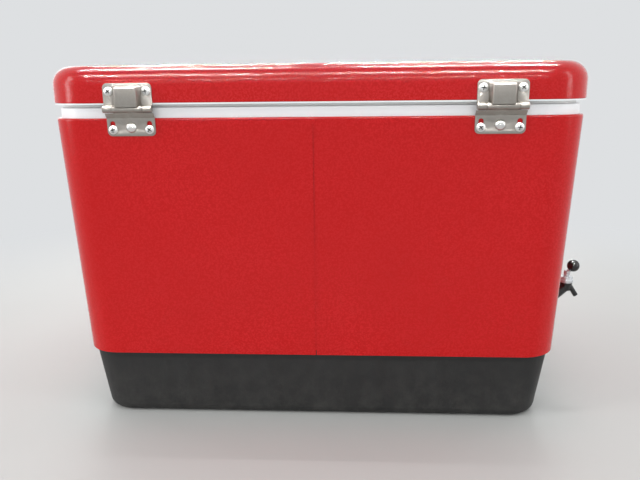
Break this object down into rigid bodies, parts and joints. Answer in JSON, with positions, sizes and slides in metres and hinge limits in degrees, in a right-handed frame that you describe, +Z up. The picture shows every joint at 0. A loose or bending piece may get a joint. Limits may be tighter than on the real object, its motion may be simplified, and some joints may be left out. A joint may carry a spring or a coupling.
{
  "type": "insulated cooler",
  "caption": "Chest cooler with a leaning painted steel jacket, plastic base pan and white liner, a hinged and latched lid, swinging end handles and a drain tap.",
  "frame": {"origin": "on the ground, under the middle of the base pan", "axes": "+Z up; -Y is the front, with the latch; +Y is the back, with the hinges; X runs along the length, with the drain tap on the -X end"},
  "size_m": [0.6513, 0.418, 0.41],
  "materials": {
    "jacket_paint": "glossy baked enamel with a fine leather grain",
    "base_plastic": "moulded, satin",
    "liner_plastic": "smooth moulded white",
    "insulation_foam": "rigid closed-cell foam",
    "gasket_rubber": "soft grey",
    "hinge_steel": "bright zinc plating, slightly worn",
    "screw_steel": "zinc plated",
    "latch_steel": "bright plated",
    "handle_wire": "bright plated wire",
    "grip_plastic": "moulded black",
    "tap_plastic": "glossy moulded black",
    "tap_metal": "polished"
  },
  "bodies": {
    "cooler_body": {"outer_jacket": "jacket_paint", "base_pan": "base_plastic", "inner_tub": "liner_plastic", "body_insulation": "insulation_foam", "drain_shank": "tap_metal", "drain_outer_gasket": "gasket_rubber", "drain_inner_gasket": "gasket_rubber", "drain_flange": "tap_plastic", "drain_lock_nut": "tap_plastic", "drain_valve_body": "tap_plastic", "drain_bonnet": "tap_metal", "hinge_left_lower_leaf": "hinge_steel", "hinge_right_lower_leaf": "hinge_steel", "hinge_left_lower_screws": "screw_steel", "hinge_right_lower_screws": "screw_steel", "hinge_left_rivet": "hinge_steel", "hinge_right_rivet": "hinge_steel", "latch_keeper": "latch_steel", "latch_keeper_screws": "screw_steel", "left_handle_front_bracket": "hinge_steel", "left_handle_rear_bracket": "hinge_steel", "left_handle_screws": "screw_steel", "right_handle_front_bracket": "hinge_steel", "right_handle_rear_bracket": "hinge_steel", "right_handle_screws": "screw_steel"},
    "lid": {"lid_shell": "jacket_paint", "lid_liner": "liner_plastic", "lid_insulation": "insulation_foam", "lid_gasket": "gasket_rubber", "hinge_left_upper_leaf": "hinge_steel", "hinge_right_upper_leaf": "hinge_steel", "hinge_left_pin": "hinge_steel", "hinge_right_pin": "hinge_steel", "hinge_left_upper_screws": "screw_steel", "hinge_right_upper_screws": "screw_steel", "latch_bracket": "latch_steel", "latch_pin": "latch_steel", "latch_bracket_screws": "screw_steel"},
    "hasp": {"latch_hasp": "latch_steel"},
    "left_bail": {"left_handle_bail": "handle_wire", "left_handle_grip": "grip_plastic"},
    "right_bail": {"right_handle_bail": "handle_wire", "right_handle_grip": "grip_plastic"},
    "tap_lever": {"drain_plug": "tap_metal", "drain_lever": "tap_metal", "drain_knob": "tap_plastic"}
  },
  "joints": [
    {"name": "lid_hinge", "type": "hinge", "parent": "cooler_body", "child": "lid", "pos_m": [0, 0.20186, 0.3645], "axis": [-1, 0, 0], "range_deg": [0, 105]},
    {"name": "hasp_swing", "type": "hinge", "parent": "lid", "child": "hasp", "pos_m": [0, -0.2035, 0.375], "axis": [-1, 0, 0], "range_deg": [-8, 115]},
    {"name": "left_bail_swing", "type": "hinge", "parent": "cooler_body", "child": "left_bail", "pos_m": [-0.29915, 0, 0.245], "axis": [0, 1, 0], "range_deg": [-2, 95]},
    {"name": "right_bail_swing", "type": "hinge", "parent": "cooler_body", "child": "right_bail", "pos_m": [0.29915, 0, 0.245], "axis": [0, -1, 0], "range_deg": [-2, 95]},
    {"name": "tap_turn", "type": "hinge", "parent": "cooler_body", "child": "tap_lever", "pos_m": [-0.3258, 0.048, 0.13508], "axis": [-0.0444, 0, 0.999], "range_deg": [0, 90]}
  ]
}
